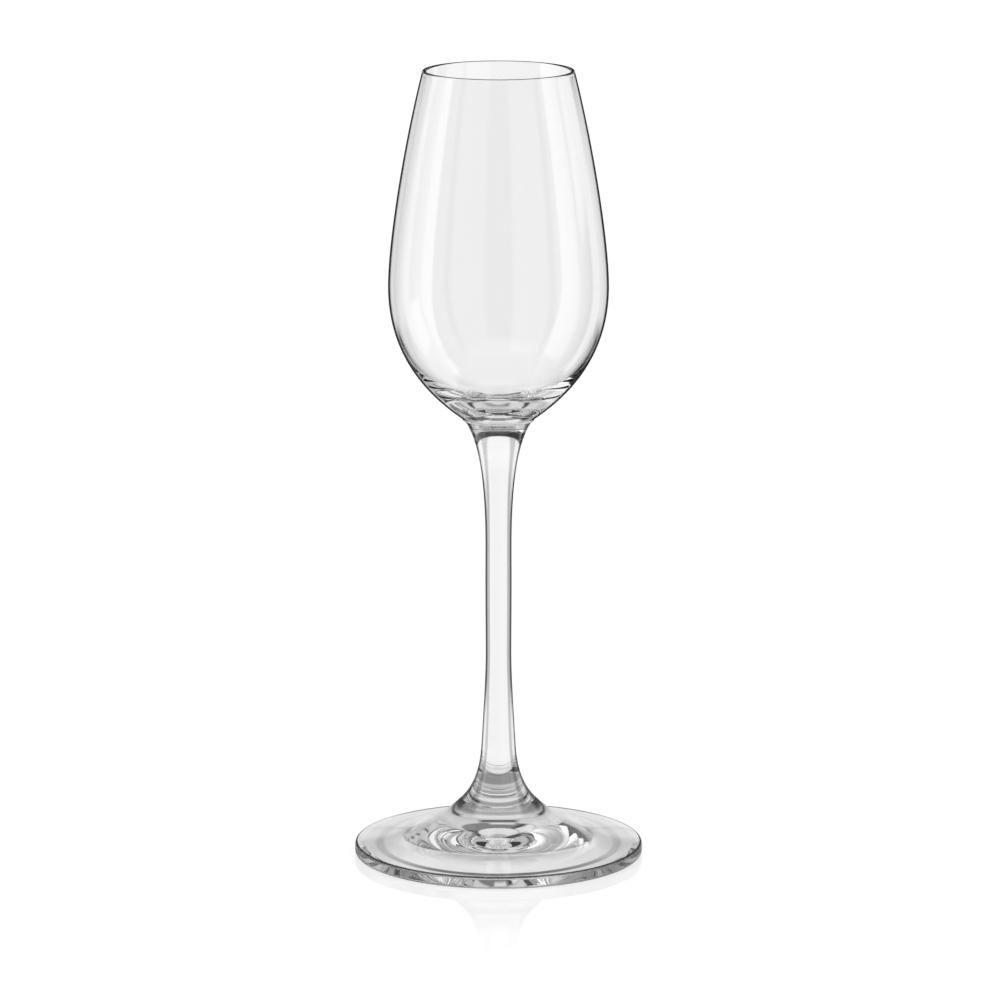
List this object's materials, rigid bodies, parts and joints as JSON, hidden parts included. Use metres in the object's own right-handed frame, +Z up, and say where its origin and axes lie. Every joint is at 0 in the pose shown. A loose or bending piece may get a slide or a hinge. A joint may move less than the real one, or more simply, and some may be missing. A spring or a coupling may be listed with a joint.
{
  "type": "cordial glass",
  "caption": "Small stemmed cordial glass: a tulip bowl that narrows to its rim, a slim solid stem flared at both ends, and a round foot with a hollow underside.",
  "frame": {"origin": "middle of the foot's resting plane, on the glass's axis", "axes": "+Z up along the axis, from the foot to the rim; the glass is round, so X and Y are free"},
  "size_m": [0.0568, 0.0568, 0.156],
  "materials": {
    "clear_glass": "clear, fire-polished"
  },
  "bodies": {
    "root": {"bowl": "clear_glass", "stem": "clear_glass", "foot": "clear_glass"}
  },
  "joints": []
}
